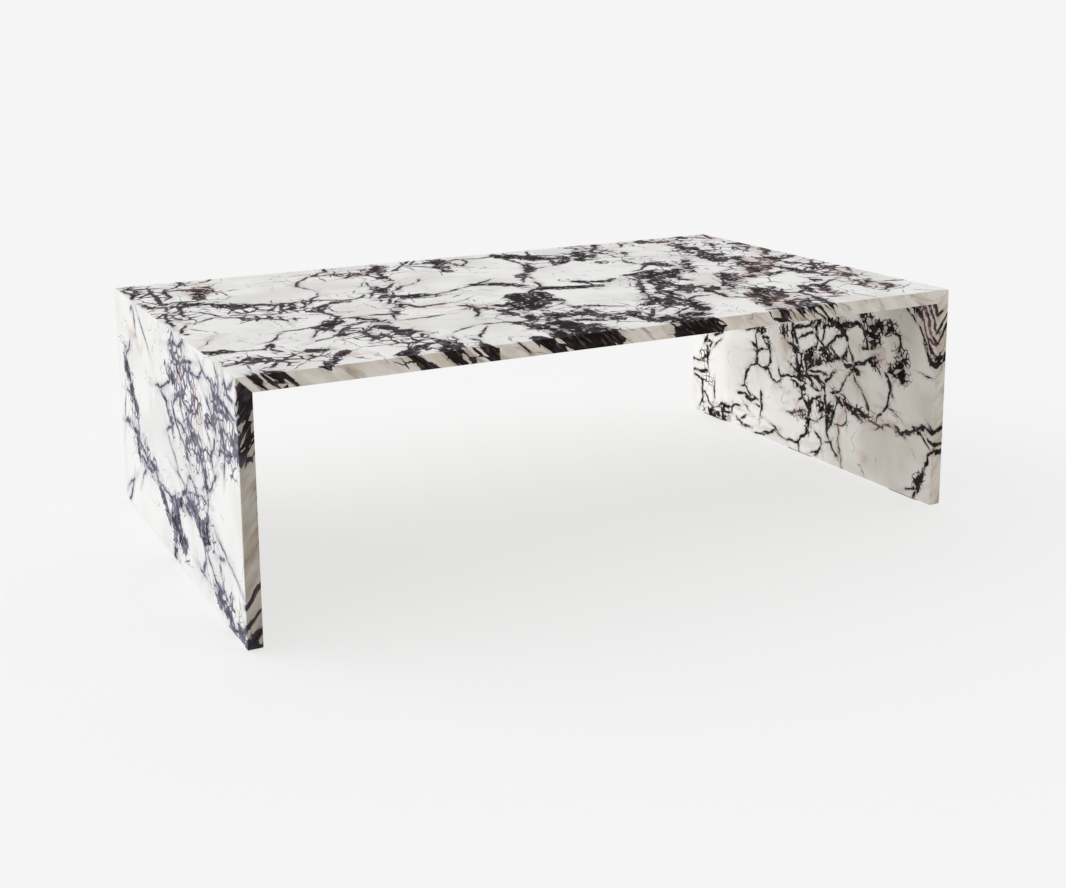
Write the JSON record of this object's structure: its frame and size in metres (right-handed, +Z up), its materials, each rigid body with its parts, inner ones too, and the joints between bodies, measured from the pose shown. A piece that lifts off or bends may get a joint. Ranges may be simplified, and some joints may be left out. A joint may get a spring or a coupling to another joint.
{
  "type": "marble coffee table",
  "caption": "Low bridge-shaped coffee table: a rectangular marble top mitred into two full-depth marble slab legs, standing on thin rubber pads.",
  "frame": {"origin": "on the floor, under the middle of the tabletop", "axes": "+X along the table's length, +Y from the front to the back, +Z up"},
  "size_m": [1.1, 0.65, 0.34],
  "materials": {
    "honed_marble": "honed white breccia marble with dark violet veins",
    "stone_epoxy": "cured stone epoxy, tinted to the marble",
    "stainless_steel": "drawn stainless bar",
    "glass_fibre_resin": "clear resin over woven glass fibre net",
    "grey_rubber": "matt die-cut rubber sheet"
  },
  "bodies": {
    "root": {"top_slab": "honed_marble", "left_leg_slab": "honed_marble", "right_leg_slab": "honed_marble", "left_mitre_adhesive": "stone_epoxy", "right_mitre_adhesive": "stone_epoxy", "left_mitre_pins": "stainless_steel", "right_mitre_pins": "stainless_steel", "top_backing_sheet": "glass_fibre_resin", "left_front_foot_pad": "grey_rubber", "left_middle_foot_pad": "grey_rubber", "left_back_foot_pad": "grey_rubber", "right_front_foot_pad": "grey_rubber", "right_middle_foot_pad": "grey_rubber", "right_back_foot_pad": "grey_rubber"}
  },
  "joints": []
}
